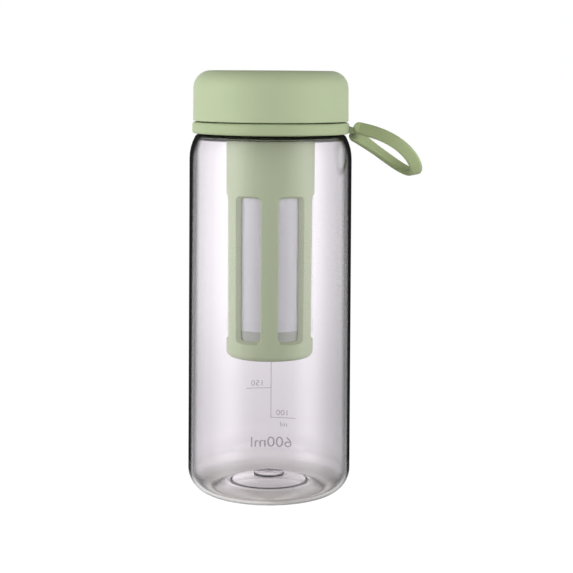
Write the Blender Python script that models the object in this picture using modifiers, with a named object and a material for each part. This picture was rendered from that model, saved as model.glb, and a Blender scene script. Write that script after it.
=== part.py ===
"""Tea infuser bottle: a clear bottle, a screw lid with a windowed infuser, and a carry ring with a soft loop.

Metres, +Z up. The origin is the centre of the standing plane, on the bottle's axis.
Heights in the sections below are measured from the standing plane.
"""

import math

import bmesh
import bpy
from mathutils import Euler, Matrix, Vector

# Fits
SEAT_GAP = 0.0003
SNAP_GAP = 0.0004
OVERRUN = 0.001
EMBED = 0.0005

# Bottle
BODY_RADIUS = 0.0380
BODY_TAPER = 0.00085
BODY_WALL = 0.0017
FOOT_FILLET = 0.0114
LAND_WIDTH = 0.0012
LAND_FILLET = 0.0005
BASE_WALL = 0.0024
PUNT_RISE = 0.0057
FLOOR_BLEND = 0.0040
FLOOR_DOME_SHARE = 0.86
UNDER_DOME_SHARE = 0.94
GATE_PAD_RADIUS = 0.0070
GATE_PAD_RISE = 0.0008
GATE_PAD_FILLET = 0.0004
SHOULDER_HEIGHT = 0.1672
SHOULDER_RISE = 0.0059
SHOULDER_SLOPE_SHARE = 0.41
SHOULDER_BLEND = 0.0213
SHOULDER_FILLET = 0.0022
SHOULDER_INSET_SHARE = 0.6
NECK_RADIUS = 0.0295
NECK_WALL = 0.0024
NECK_FILLET = 0.0008
RIM_FILLET = 0.0007
NECK_BEAD_DEPTH = 0.0009
NECK_BEAD_HEIGHT = 0.0010
THREAD_PITCH = 0.0040
THREAD_TURNS = 1.75
THREAD_RADIUS = 0.0010
THREAD_DROP = 0.0060
THREAD_FADE_TURNS = 0.12
THREAD_TIP_SHARE = 0.4

# Lid
LID_WALL = 0.0022
LINER_WALL = 0.00215
LID_RADIUS = NECK_RADIUS + THREAD_RADIUS + SNAP_GAP + LINER_WALL + SEAT_GAP + LID_WALL
LID_TAPER = 0.00025
LID_HEIGHT = 0.0228
LID_TOP = 0.0026
LID_FILLET = 0.0080
LID_GAP = 0.0005
LINER_TOP = 0.0021
LINER_SKIRT_LIFT = 0.0014
LINER_CHAMFER = 0.0010
PLUG_WALL = 0.0012
PLUG_DEPTH = 0.0035
SEAL_THICKNESS = 0.0014
SEAL_OVERHANG = 0.0002

# Carry ring
COLLAR_LIP = 0.00035
COLLAR_RADIUS = LID_RADIUS + COLLAR_LIP
COLLAR_HEIGHT = 0.0052
COLLAR_WALL = 0.0024
COLLAR_BORE_WALL = 0.0019
COLLAR_WEB = 0.0017
COLLAR_FILLET = 0.0012

# Infuser
INFUSER_RADIUS = 0.0204
INFUSER_TAPER = 0.0003
INFUSER_WALL = 0.0024
INFUSER_LENGTH = 0.1262
INFUSER_FOOT_FILLET = 0.0028
FLOOR_THICKNESS = 0.0018
FLOOR_OPENING_RADIUS = 0.0125
RING_HEIGHT = 0.0081
WINDOW_COUNT = 6
WINDOW_HEIGHT = 0.0670
WINDOW_FILLET = 0.0014
WINDOW_CHAMFER = 0.0015
WINDOW_END_CHAMFER = 0.0010
RIB_WIDTH = 0.0076
MESH_THICKNESS = 0.0004
MESH_LAP = 0.0030

# Bayonet between the infuser and the lid
LUG_COUNT = 3
LUG_SPAN = math.radians(40)
LUG_DEPTH = 0.0013
LUG_HEIGHT = 0.0020
LUG_DROP = 0.0048
LEDGE_SPAN = math.radians(44)
LEDGE_HEIGHT = 0.0020
STOP_SPAN = math.radians(4)
STOP_LAP = math.radians(0.5)
BOSS_WALL = 0.0016
BOSS_BELOW_LEDGE = 0.0006

# Strap
STRAP_REACH = 0.0322
STRAP_HALF_WIDTH = 0.0111
STRAP_BAND = 0.0057
STRAP_THICKNESS = 0.0028
STRAP_EDGE_FILLET = 0.0011
STRAP_WIDEST_SHARE = 0.58
STRAP_SWELL_POWER = 1.1
STRAP_PITCH = math.radians(20.7)
STRAP_ROLL = math.radians(-22.3)
STRAP_SAG = math.radians(26.8)
STRAP_FLARE = math.radians(30)
STRAP_FLARE_SHARE = 0.40
HINGE_OUT = 0.0038
HINGE_PAST_BODY = 0.0017
HINGE_HEIGHT = 0.0008
HINGE_BARREL_RADIUS = 0.0019
HINGE_BARREL_WIDTH = 0.0074
HINGE_WEB_WIDTH = 0.0056
HINGE_WEB_LIFT = 0.0004
HINGE_WEB_HEIGHT = 0.0036
TRUNNION_RADIUS = 0.0012
TRUNNION_LENGTH = 0.0018

# Facets
ROUND_STEPS = 48
ARC_TOLERANCE = 0.0002
DOME_STEPS = 4
HELIX_STEPS = 40
HELIX_SIDES_RESOLUTION = 1
BAND_STATIONS = 9
TIP_STATIONS = 7
EYE_STATIONS = 3
EYE_FIRST_STEP = 0.4
SECTION_STEPS = 2
BARREL_SIDES = 16
LUG_STEPS = 4
WINDOW_FILLET_STEPS = 2
MERGE_DISTANCE = 0.00001
SHARP_ANGLE = math.radians(35)
ROUNDING_SHARE = 0.98

# Colours
CLEAR_COLOUR = (0.86, 0.83, 0.87)
CLEAR_ALPHA = 0.3
CLEAR_ROUGHNESS = 0.06
PLASTIC_COLOUR = (0.42, 0.50, 0.33)
PLASTIC_ROUGHNESS = 0.45
LOOP_COLOUR = (0.32, 0.41, 0.20)
GASKET_COLOUR = (0.78, 0.78, 0.76)
SILICONE_ROUGHNESS = 0.55
STEEL_COLOUR = (0.55, 0.55, 0.57)
STEEL_ROUGHNESS = 0.4

# Levels and radii that follow
collar_low = SHOULDER_HEIGHT + SEAT_GAP
collar_top = collar_low + COLLAR_HEIGHT
lid_low = collar_top + LID_GAP
lid_top = lid_low + LID_HEIGHT
liner_top = lid_top - LID_TOP - SEAT_GAP
liner_under = liner_top - LINER_TOP
seal_top = liner_under - SEAT_GAP
seal_low = seal_top - SEAL_THICKNESS
rim = seal_low - SEAT_GAP
bead_low = collar_top + SEAT_GAP
neck_bore = NECK_RADIUS - NECK_WALL
skirt_bore = NECK_RADIUS + THREAD_RADIUS + SNAP_GAP
shell_bore = LID_RADIUS - LID_WALL
liner_radius = shell_bore - SEAT_GAP
plug_radius = neck_bore - SNAP_GAP
infuser_top = liner_under - SEAT_GAP
infuser_low = infuser_top - INFUSER_LENGTH
infuser_bore = INFUSER_RADIUS - INFUSER_TAPER - INFUSER_WALL
lug_bore = infuser_bore - LUG_DEPTH
boss_radius = lug_bore - SNAP_GAP
ledge_radius = infuser_bore - SNAP_GAP
lug_top = infuser_top - LUG_DROP
lug_low = lug_top - LUG_HEIGHT
ledge_top = lug_low - SEAT_GAP
ledge_low = ledge_top - LEDGE_HEIGHT
window_low = infuser_low + RING_HEIGHT
window_top = window_low + WINDOW_HEIGHT
floor_top = infuser_low + FLOOR_THICKNESS
disc_low = floor_top + SEAT_GAP
disc_top = disc_low + MESH_THICKNESS
mesh_radius = infuser_bore - SEAT_GAP
hinge_reach = max(COLLAR_RADIUS + HINGE_OUT, BODY_RADIUS + HINGE_PAST_BODY)
hinge_point = Vector((hinge_reach, 0, collar_low + HINGE_HEIGHT))
hinge_turn = Euler((STRAP_ROLL, STRAP_PITCH, 0), "XYZ")


# Scene


def clear_scene():
    for obj in list(bpy.data.objects):
        bpy.data.objects.remove(obj)


def new_collection(name):
    collection = bpy.data.collections.new(name)
    bpy.context.scene.collection.children.link(collection)
    return collection


def new_material(name, colour, roughness, metallic=0.0, alpha=1.0):
    material = bpy.data.materials.new(name)
    material.use_nodes = True
    shader = material.node_tree.nodes["Principled BSDF"]
    shader.inputs["Base Color"].default_value = (*colour, 1.0)
    shader.inputs["Roughness"].default_value = roughness
    shader.inputs["Metallic"].default_value = metallic
    shader.inputs["Alpha"].default_value = alpha
    material.diffuse_color = (*colour, alpha)
    return material


def new_object(name, mesh, collection, material=None):
    obj = bpy.data.objects.new(name, mesh)
    collection.objects.link(obj)
    if material:
        mesh.materials.append(material)
    return obj


def hide_helper(obj):
    obj.hide_render = True
    obj.display_type = "WIRE"


def shade(obj):
    obj.data.shade_smooth()
    obj.data.set_sharp_from_angle(angle=SHARP_ANGLE)


# Outlines


def rounded(corners, closed=False):
    """The outline through (radius, height, fillet) corners, with each fillet as an arc."""
    count = len(corners)
    places = [Vector(corner[:2]) for corner in corners]
    halves = []
    needs = []
    for index, corner in enumerate(corners):
        inner = closed or 0 < index < count - 1
        before = places[index - 1] - places[index]
        after = places[(index + 1) % count] - places[index]
        half = before.angle(after) / 2 if inner and corner[2] else 0
        halves.append(half)
        needs.append(corner[2] / math.tan(half) if half else 0)
    points = []
    for index, here in enumerate(places):
        if not needs[index]:
            points.append(here)
            continue
        reach = needs[index]
        for other in (index - 1, (index + 1) % count):
            side = (places[other] - here).length * ROUNDING_SHARE
            reach = min(reach, side * needs[index] / (needs[index] + needs[other]))
        after = places[(index + 1) % count]
        points += fillet_arc(places[index - 1], here, after, reach, halves[index])
    return points


def fillet_arc(before, here, after, reach, half):
    back = (before - here).normalized()
    ahead = (after - here).normalized()
    radius = reach * math.tan(half)
    centre = here + (back + ahead).normalized() * (radius / math.sin(half))
    start = here + back * reach - centre
    turn = math.pi - 2 * half
    if back.cross(ahead) > 0:
        turn = -turn
    step_turn = 2 * math.acos(max(0, 1 - ARC_TOLERANCE / radius))
    steps = math.ceil(abs(turn) / step_turn)
    return [centre + Matrix.Rotation(turn * step / steps, 2) @ start for step in range(steps + 1)]


def dome(edge_radius, rise, wall, last_share):
    """Corners of a shallow dome from the axis outwards, lifted by a wall."""
    sphere = (edge_radius**2 + rise**2) / (2 * rise)
    centre = rise - sphere
    corners = []
    for step in range(DOME_STEPS + 1):
        radius = edge_radius * last_share * step / DOME_STEPS
        height = centre + math.sqrt((sphere + wall) ** 2 - radius**2)
        corners.append((radius, height, 0))
    return corners


def outline_mesh(name, points, closed):
    mesh = bpy.data.meshes.new(name)
    edges = [(index, index + 1) for index in range(len(points) - 1)]
    if closed:
        edges.append((len(points) - 1, 0))
    mesh.from_pydata([(point[0], 0, point[1]) for point in points], edges, [])
    return mesh


def turned(name, corners, collection, material=None, closed=False):
    """A body of revolution about Z. Its outer side runs from top to bottom."""
    outline = outline_mesh(name, rounded(corners, closed), closed)
    obj = new_object(name, outline, collection, material)
    screw = obj.modifiers.new("turn", "SCREW")
    screw.axis = "Z"
    screw.steps = ROUND_STEPS
    screw.render_steps = ROUND_STEPS
    screw.use_merge_vertices = True
    screw.merge_threshold = MERGE_DISTANCE
    screw.use_smooth_shade = True
    return obj


# Helpers for Booleans


def combine(obj, other, operation):
    hide_helper(other)
    boolean = obj.modifiers.new(other.name, "BOOLEAN")
    boolean.operation = operation
    boolean.object = other
    boolean.solver = "EXACT"


def evaluated_mesh(obj):
    bpy.context.view_layer.update()
    graph = bpy.context.evaluated_depsgraph_get()
    return bpy.data.meshes.new_from_object(obj.evaluated_get(graph))


def helix_bead(name, radius, middle, collection):
    """A round thread bead that fades into its wall at both ends, as a closed mesh."""
    curve = bpy.data.curves.new(name, "CURVE")
    curve.dimensions = "3D"
    curve.bevel_depth = THREAD_RADIUS
    curve.bevel_resolution = HELIX_SIDES_RESOLUTION
    curve.use_fill_caps = True
    count = round(THREAD_TURNS * HELIX_STEPS)
    rise = THREAD_PITCH * THREAD_TURNS
    spline = curve.splines.new("POLY")
    spline.points.add(count)
    for index in range(count + 1):
        share = index / count
        angle = 2 * math.pi * THREAD_TURNS * share
        height = middle - rise / 2 + rise * share
        fade = min(1, min(share, 1 - share) * THREAD_TURNS / THREAD_FADE_TURNS)
        spline.points[index].co = (radius * math.cos(angle), radius * math.sin(angle), height, 1)
        spline.points[index].radius = THREAD_TIP_SHARE + (1 - THREAD_TIP_SHARE) * fade
    tube = bpy.data.objects.new(name, curve)
    collection.objects.link(tube)
    mesh = evaluated_mesh(tube)
    bpy.data.objects.remove(tube)
    weld(mesh)
    return new_object(name, mesh, collection)


def weld(mesh):
    shape = bmesh.new()
    shape.from_mesh(mesh)
    bmesh.ops.remove_doubles(shape, verts=shape.verts, dist=MERGE_DISTANCE)
    bmesh.ops.recalc_face_normals(shape, faces=shape.faces)
    shape.to_mesh(mesh)
    shape.free()


def arc_block(shape, low_radius, high_radius, low, high, start, span):
    """Adds a curved block about Z to a bmesh, from a rectangle spun through its span."""
    corners = ((low_radius, low), (high_radius, low), (high_radius, high), (low_radius, high))
    turn = Matrix.Rotation(start, 4, "Z")
    verts = [shape.verts.new(turn @ Vector((radius, 0, height))) for radius, height in corners]
    face = shape.faces.new(verts)
    bmesh.ops.spin(
        shape,
        geom=[face, *face.edges, *face.verts],
        axis=(0, 0, 1),
        cent=(0, 0, 0),
        angle=span,
        steps=LUG_STEPS,
    )


def finish_shape(name, shape, collection):
    mesh = bpy.data.meshes.new(name)
    bmesh.ops.recalc_face_normals(shape, faces=shape.faces)
    shape.to_mesh(mesh)
    shape.free()
    return new_object(name, mesh, collection)


def cylinder(name, radius, length, collection):
    """A cylinder along Y, centred on its origin."""
    shape = bmesh.new()
    bmesh.ops.create_cone(
        shape,
        cap_ends=True,
        segments=BARREL_SIDES,
        radius1=radius,
        radius2=radius,
        depth=length,
        matrix=Matrix.Rotation(math.pi / 2, 4, "X"),
    )
    return finish_shape(name, shape, collection)


# Bottle


def make_bottle(collection, helpers, material):
    shoulder_radius = BODY_RADIUS - BODY_TAPER
    shoulder_in = (shoulder_radius - NECK_RADIUS) * SHOULDER_SLOPE_SHARE
    corner_level = SHOULDER_HEIGHT - SHOULDER_RISE
    bead_top = bead_low + NECK_BEAD_HEIGHT
    bead_radius = NECK_RADIUS + NECK_BEAD_DEPTH
    foot_radius = BODY_RADIUS - FOOT_FILLET
    land_bore = foot_radius - LAND_WIDTH
    pad_level = PUNT_RISE + BASE_WALL + GATE_PAD_RISE
    floor_dome = dome(land_bore, PUNT_RISE, BASE_WALL, FLOOR_DOME_SHARE)
    floor_dome = [corner for corner in floor_dome if corner[0] > GATE_PAD_RADIUS]
    under_dome = dome(land_bore, PUNT_RISE, 0, UNDER_DOME_SHARE)
    shoulder_inset = shoulder_radius - BODY_WALL - shoulder_in * SHOULDER_INSET_SHARE
    corners = [
        (0, pad_level, 0),
        (GATE_PAD_RADIUS, pad_level, GATE_PAD_FILLET),
        (GATE_PAD_RADIUS, pad_level - GATE_PAD_RISE - GATE_PAD_FILLET, 0),
        *floor_dome,
        (foot_radius, BODY_WALL, FLOOR_BLEND),
        (BODY_RADIUS - BODY_WALL, BODY_WALL, FOOT_FILLET - BODY_WALL),
        (shoulder_radius - BODY_WALL, corner_level, SHOULDER_BLEND - BODY_WALL),
        (shoulder_inset, SHOULDER_HEIGHT - BODY_WALL, SHOULDER_FILLET),
        (neck_bore, SHOULDER_HEIGHT - BODY_WALL, NECK_FILLET + BODY_WALL),
        (neck_bore, rim, RIM_FILLET),
        (NECK_RADIUS, rim, RIM_FILLET),
        (NECK_RADIUS, bead_top, 0),
        (bead_radius, bead_top, 0),
        (bead_radius, bead_low, 0),
        (NECK_RADIUS, bead_low, 0),
        (NECK_RADIUS, SHOULDER_HEIGHT, 0),
        (shoulder_radius - shoulder_in, SHOULDER_HEIGHT, SHOULDER_FILLET),
        (shoulder_radius, corner_level, SHOULDER_BLEND),
        (BODY_RADIUS, 0, FOOT_FILLET),
        (land_bore, 0, LAND_FILLET),
        *reversed(under_dome),
    ]
    body = turned("bottle_body", corners, collection, material)
    thread = helix_bead("neck_thread", NECK_RADIUS, rim - THREAD_DROP - THREAD_PITCH / 2, helpers)
    combine(body, thread, "UNION")
    return body


# Lid


def make_lid_shell(collection, material):
    top_radius = LID_RADIUS - LID_TAPER
    inner_top = lid_top - LID_TOP
    corners = [
        (0, lid_top, 0),
        (top_radius, lid_top, LID_FILLET),
        (LID_RADIUS, lid_low, 0),
        (shell_bore, lid_low, 0),
        (shell_bore - LID_TAPER, inner_top, LID_FILLET - LID_WALL),
        (0, inner_top, 0),
    ]
    return turned("lid_shell", corners, collection, material)


def make_lid_liner(collection, helpers, material):
    boss_bore = boss_radius - BOSS_WALL
    boss_low = ledge_low - BOSS_BELOW_LEDGE
    skirt_low = lid_low + LINER_SKIRT_LIFT
    plug_low = liner_under - PLUG_DEPTH
    plug_bore = plug_radius - PLUG_WALL
    corners = [
        (0, liner_top, 0),
        (liner_radius - LID_TAPER, liner_top, LID_FILLET - LID_WALL - SEAT_GAP),
        (liner_radius, skirt_low, 0),
        (skirt_bore, skirt_low, 0),
        (skirt_bore, liner_under - LINER_CHAMFER, 0),
        (skirt_bore - LINER_CHAMFER, liner_under, 0),
        (plug_radius, liner_under, 0),
        (plug_radius, plug_low, 0),
        (plug_bore, plug_low, 0),
        (plug_bore, liner_under, 0),
        (boss_radius, liner_under, 0),
        (boss_radius, boss_low, 0),
        (boss_bore, boss_low, 0),
        (boss_bore, liner_under, 0),
        (0, liner_under, 0),
    ]
    liner = turned("lid_liner", corners, collection, material)
    thread = helix_bead("lid_thread", skirt_bore, rim - THREAD_DROP, helpers)
    combine(liner, thread, "UNION")
    boss_inner = boss_radius - EMBED
    ledges = bmesh.new()
    for number in range(LUG_COUNT):
        middle = 2 * math.pi * number / LUG_COUNT
        start = middle - LEDGE_SPAN / 2
        arc_block(ledges, boss_inner, ledge_radius, ledge_low, ledge_top, start, LEDGE_SPAN)
    combine(liner, finish_shape("bayonet_ledges", ledges, helpers), "UNION")
    stops = bmesh.new()
    for number in range(LUG_COUNT):
        start = 2 * math.pi * number / LUG_COUNT - LEDGE_SPAN / 2 + STOP_LAP - STOP_SPAN
        arc_block(stops, boss_inner, ledge_radius, ledge_low + EMBED, lug_top, start, STOP_SPAN)
    combine(liner, finish_shape("bayonet_stops", stops, helpers), "UNION")
    return liner


def make_lid_seal(collection, material):
    low_radius = plug_radius + SEAT_GAP
    high_radius = NECK_RADIUS + SEAL_OVERHANG
    corners = [
        (high_radius, seal_top, 0),
        (high_radius, seal_low, 0),
        (low_radius, seal_low, 0),
        (low_radius, seal_top, 0),
    ]
    return turned("lid_seal", corners, collection, material, closed=True)


# Infuser


def window_cutter(helpers):
    """Tapered window openings, narrower at the bore so that every edge has a wide chamfer."""
    pitch = 2 * math.pi / WINDOW_COUNT
    rib_angle = math.asin(RIB_WIDTH / 2 / INFUSER_RADIUS)
    outer_half = INFUSER_RADIUS * math.sin(pitch / 2 - rib_angle)
    outer_x = INFUSER_RADIUS * math.cos(pitch / 2 - rib_angle)
    inner_half = outer_half - WINDOW_CHAMFER
    inner_x = math.sqrt(infuser_bore**2 - inner_half**2)
    lean = WINDOW_CHAMFER / (outer_x - inner_x)
    end_lean = WINDOW_END_CHAMFER / (outer_x - inner_x)
    middle = (window_low + window_top) / 2
    cutter = bmesh.new()
    for number in range(WINDOW_COUNT):
        window = bmesh.new()
        bmesh.ops.create_cube(window, size=1)
        for vert in window.verts:
            distance = INFUSER_RADIUS + OVERRUN if vert.co.x > 0 else inner_x - OVERRUN
            depth = outer_x - distance
            vert.co.y = math.copysign(outer_half - lean * depth, vert.co.y)
            vert.co.z = math.copysign(WINDOW_HEIGHT / 2 - end_lean * depth, vert.co.z)
            vert.co.x = distance
        along = [edge for edge in window.edges if edge.verts[0].co.x != edge.verts[1].co.x]
        bmesh.ops.bevel(
            window,
            geom=along,
            offset=WINDOW_FILLET,
            segments=WINDOW_FILLET_STEPS,
            affect="EDGES",
        )
        turn = Matrix.Rotation(pitch * number, 4, "Z")
        place = Matrix.Translation((0, 0, middle)) @ turn
        bmesh.ops.transform(window, matrix=place, verts=window.verts)
        piece = bpy.data.meshes.new("window")
        window.to_mesh(piece)
        window.free()
        cutter.from_mesh(piece)
        bpy.data.meshes.remove(piece)
    return finish_shape("windows", cutter, helpers)


def make_infuser_frame(collection, helpers, material):
    corners = [
        (INFUSER_RADIUS, infuser_top, 0),
        (INFUSER_RADIUS - INFUSER_TAPER, infuser_low, INFUSER_FOOT_FILLET),
        (FLOOR_OPENING_RADIUS, infuser_low, 0),
        (FLOOR_OPENING_RADIUS, floor_top, 0),
        (infuser_bore, floor_top, 0),
        (infuser_bore, infuser_top, 0),
    ]
    frame = turned("infuser_frame", corners, collection, material, closed=True)
    combine(frame, window_cutter(helpers), "DIFFERENCE")
    lugs = bmesh.new()
    for number in range(LUG_COUNT):
        start = 2 * math.pi * number / LUG_COUNT - LUG_SPAN / 2
        arc_block(lugs, lug_bore, infuser_bore + EMBED, lug_low, lug_top, start, LUG_SPAN)
    combine(frame, finish_shape("infuser_lugs", lugs, helpers), "UNION")
    return frame


def make_infuser_mesh(collection, material):
    low = disc_top + SEAT_GAP
    high = window_top + MESH_LAP
    corners = [
        (mesh_radius, high, 0),
        (mesh_radius, low, 0),
        (mesh_radius - MESH_THICKNESS, low, 0),
        (mesh_radius - MESH_THICKNESS, high, 0),
    ]
    return turned("infuser_mesh", corners, collection, material, closed=True)


def make_infuser_floor(collection, material):
    corners = [
        (0, disc_top, 0),
        (mesh_radius, disc_top, 0),
        (mesh_radius, disc_low, 0),
        (0, disc_low, 0),
    ]
    return turned("infuser_floor", corners, collection, material)


# Carry ring and strap


def make_hinge():
    hinge = bpy.data.objects.new("strap_hinge", None)
    hinge.location = hinge_point
    hinge.rotation_euler = hinge_turn
    return hinge


def on_hinge(obj, hinge):
    obj.parent = hinge
    return obj


def lug_web_sides():
    """The two side outlines of the wedge between the ring and the barrel."""
    inner = COLLAR_RADIUS - COLLAR_WALL / 2
    low = collar_low + HINGE_WEB_LIFT
    outline = (
        (inner, low),
        (hinge_point.x, low),
        (hinge_point.x, hinge_point.z + HINGE_BARREL_RADIUS - EMBED),
        (inner, low + HINGE_WEB_HEIGHT),
    )
    return [
        [Vector((place, side * HINGE_WEB_WIDTH / 2, height)) for place, height in outline]
        for side in (-1, 1)
    ]


def make_collar(collection, helpers, hinge, material):
    bore = NECK_RADIUS + SNAP_GAP
    web_low = collar_top - COLLAR_WEB
    corners = [
        (COLLAR_RADIUS, collar_top, COLLAR_FILLET),
        (COLLAR_RADIUS, collar_low, COLLAR_FILLET),
        (COLLAR_RADIUS - COLLAR_WALL, collar_low, 0),
        (COLLAR_RADIUS - COLLAR_WALL, web_low, 0),
        (bore + COLLAR_BORE_WALL, web_low, 0),
        (bore + COLLAR_BORE_WALL, collar_low, 0),
        (bore, collar_low, 0),
        (bore, collar_top, 0),
    ]
    collar = turned("collar_ring", corners, collection, material, closed=True)
    combine(collar, new_object("lug_web", lofted("lug_web", lug_web_sides()), helpers), "UNION")
    barrel = cylinder("lug_barrel", HINGE_BARREL_RADIUS, HINGE_BARREL_WIDTH, helpers)
    combine(collar, on_hinge(barrel, hinge), "UNION")
    trunnion_span = HINGE_BARREL_WIDTH + 2 * TRUNNION_LENGTH
    trunnions = cylinder("lug_trunnions", TRUNNION_RADIUS, trunnion_span, helpers)
    combine(collar, on_hinge(trunnions, hinge), "UNION")
    return collar


def strap_stations():
    """(place, tangent, half of the band's width) along one side of the loop, from its eye to the tip."""
    root = HINGE_BARREL_WIDTH / 2 + SEAT_GAP + STRAP_THICKNESS / 2
    widest = STRAP_REACH * STRAP_WIDEST_SHARE
    eye = STRAP_BAND / 2
    stations = []
    for step in range(EYE_STATIONS):
        angle = math.pi / 2 * (step + EYE_FIRST_STEP) / EYE_STATIONS
        place = Vector((-eye * math.cos(angle), -root))
        stations.append((place, Vector((1, 0)), eye * math.sin(angle)))
    for step in range(BAND_STATIONS):
        share = step / BAND_STATIONS
        swell = (STRAP_HALF_WIDTH - root) * math.sin(math.pi / 2 * share) ** STRAP_SWELL_POWER
        stations.append((Vector((widest * share, -root - swell)), None, eye))
    for step in range(TIP_STATIONS + 1):
        angle = math.pi / 2 * step / TIP_STATIONS
        ahead = widest + (STRAP_REACH - widest) * math.sin(angle)
        stations.append((Vector((ahead, -STRAP_HALF_WIDTH * math.cos(angle))), None, eye))
    return stations


def band_section(half_width, half_thickness):
    """A rounded rectangle, as (across, up) points."""
    fillet = min(STRAP_EDGE_FILLET, half_thickness * ROUNDING_SHARE, half_width * ROUNDING_SHARE)
    points = []
    for quarter, (side, end) in enumerate(((1, 1), (-1, 1), (-1, -1), (1, -1))):
        centre = Vector((side * (half_thickness - fillet), end * (half_width - fillet)))
        for step in range(SECTION_STEPS + 1):
            angle = math.pi / 2 * (quarter + step / SECTION_STEPS)
            points.append(centre + fillet * Vector((math.cos(angle), math.sin(angle))))
    return points


def sagged(point):
    """Bends a point of the flat loop down about the hinge's Y."""
    radius = STRAP_REACH / STRAP_SAG
    angle = point.x / radius
    reach = radius + point.z
    return Vector((reach * math.sin(angle), point.y, reach * math.cos(angle) - radius))


def make_strap(collection, helpers, hinge, material):
    near = strap_stations()
    far = [(Vector((place.x, -place.y)), tangent and -tangent, width) for place, tangent, width in near]
    whole = near + far[-2::-1]
    rings = []
    for index, (place, tangent, width) in enumerate(whole):
        if tangent is None:
            tangent = (whole[index + 1][0] - whole[index - 1][0]).normalized()
        share = min(max(place.x / STRAP_REACH / STRAP_FLARE_SHARE, 0), 1)
        flare = STRAP_FLARE * share * share * (3 - 2 * share)
        outward = Vector((tangent.y, -tangent.x))
        ring = []
        for across, up in band_section(width, STRAP_THICKNESS / 2):
            out = across * math.cos(flare) + up * math.sin(flare)
            lift = up * math.cos(flare) - across * math.sin(flare)
            flat = place + outward * out
            ring.append(sagged(Vector((flat.x, flat.y, lift))))
        rings.append(ring)
    strap = new_object("strap_loop", lofted("strap_loop", rings), collection, material)
    shade(strap)
    on_hinge(strap, hinge)
    span = HINGE_BARREL_WIDTH + 2 * (TRUNNION_LENGTH + SEAT_GAP)
    sockets = cylinder("strap_sockets", TRUNNION_RADIUS + SEAT_GAP, span, helpers)
    combine(strap, on_hinge(sockets, hinge), "DIFFERENCE")
    return strap


def lofted(name, rings):
    """A closed skin over rings of equal count, capped at both ends."""
    shape = bmesh.new()
    loops = [[shape.verts.new(point) for point in ring] for ring in rings]
    for first, second in zip(loops, loops[1:]):
        for index in range(len(first)):
            following = (index + 1) % len(first)
            shape.faces.new((first[index], first[following], second[following], second[index]))
    shape.faces.new(loops[0])
    shape.faces.new(loops[-1])
    bmesh.ops.recalc_face_normals(shape, faces=shape.faces)
    mesh = bpy.data.meshes.new(name)
    shape.to_mesh(mesh)
    shape.free()
    return mesh


def main():
    clear_scene()
    parts = new_collection("tea_infuser_bottle")
    helpers = new_collection("helpers")
    clear = new_material("clear_bottle", CLEAR_COLOUR, CLEAR_ROUGHNESS, alpha=CLEAR_ALPHA)
    sage = new_material("sage_plastic", PLASTIC_COLOUR, PLASTIC_ROUGHNESS)
    silicone = new_material("sage_silicone", LOOP_COLOUR, SILICONE_ROUGHNESS)
    gasket = new_material("gasket_silicone", GASKET_COLOUR, SILICONE_ROUGHNESS)
    steel = new_material("steel_mesh", STEEL_COLOUR, STEEL_ROUGHNESS, metallic=1.0)
    make_bottle(parts, helpers, clear)
    make_lid_shell(parts, sage)
    make_lid_liner(parts, helpers, sage)
    make_lid_seal(parts, gasket)
    make_infuser_frame(parts, helpers, sage)
    make_infuser_mesh(parts, steel)
    make_infuser_floor(parts, steel)
    hinge = make_hinge()
    parts.objects.link(hinge)
    make_collar(parts, helpers, hinge, sage)
    make_strap(parts, helpers, hinge, silicone)


main()
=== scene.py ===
"""Looks of the tea infuser bottle, laid out as a Blender add-on.

The CAD frame is loaded at the top. One operator models each piece over it, and one sets the stage.
Metres, +Z up. The origin is the centre of the standing plane, on the bottle's axis.
"""

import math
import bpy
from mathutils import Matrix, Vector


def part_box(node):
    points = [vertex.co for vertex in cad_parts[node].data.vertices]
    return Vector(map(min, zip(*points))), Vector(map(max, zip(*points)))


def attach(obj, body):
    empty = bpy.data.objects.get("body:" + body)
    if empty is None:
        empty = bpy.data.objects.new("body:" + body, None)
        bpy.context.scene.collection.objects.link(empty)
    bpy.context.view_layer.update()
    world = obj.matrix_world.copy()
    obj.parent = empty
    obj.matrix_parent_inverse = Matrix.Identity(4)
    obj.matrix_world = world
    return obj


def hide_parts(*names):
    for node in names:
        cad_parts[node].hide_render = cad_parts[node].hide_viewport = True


bl_info = {
    "name": "Tea infuser bottle",
    "version": (1, 0, 0),
    "blender": (4, 5, 0),
    "location": "View3D > Sidebar > Bottle",
    "description": "Models a clear bottle with a screw lid, a tea infuser and a carry loop",
    "category": "Add Mesh",
}

import bpy
from mathutils import Euler, Matrix, Vector

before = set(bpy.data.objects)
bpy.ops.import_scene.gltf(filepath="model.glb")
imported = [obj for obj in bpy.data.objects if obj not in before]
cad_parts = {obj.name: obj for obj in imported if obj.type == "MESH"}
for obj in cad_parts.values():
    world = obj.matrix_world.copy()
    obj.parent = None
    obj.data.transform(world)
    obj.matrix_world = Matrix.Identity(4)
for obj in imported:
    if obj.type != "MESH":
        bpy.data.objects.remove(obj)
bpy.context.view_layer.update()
body_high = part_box("bottle_body")[1]
lid_box_low, lid_box_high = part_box("lid_shell")
infuser_low, infuser_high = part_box("infuser_frame")

MM = 0.001
ROUND_STEPS = 160
WELD = 0.000004
ARC_POINTS = 10
# Hinge of the loop: its place, its barrel and its trunnions
HINGE_X, HINGE_Z = 39.7 * MM, 168.3 * MM
BARREL_LENGTH, BARREL_RADIUS = 7.4 * MM, 1.9 * MM
TRUNNION_LENGTH, TRUNNION_RADIUS = 11.0 * MM, 1.2 * MM
HINGE_GAP = 0.3 * MM
# The bottle's base has no painted edge shade below this height
BASE_HEIGHT = 16 * MM
# The mesh is closed and darker up to this height above the infuser's foot
FOOT_BAND_HEIGHT = 13.4 * MM
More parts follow.
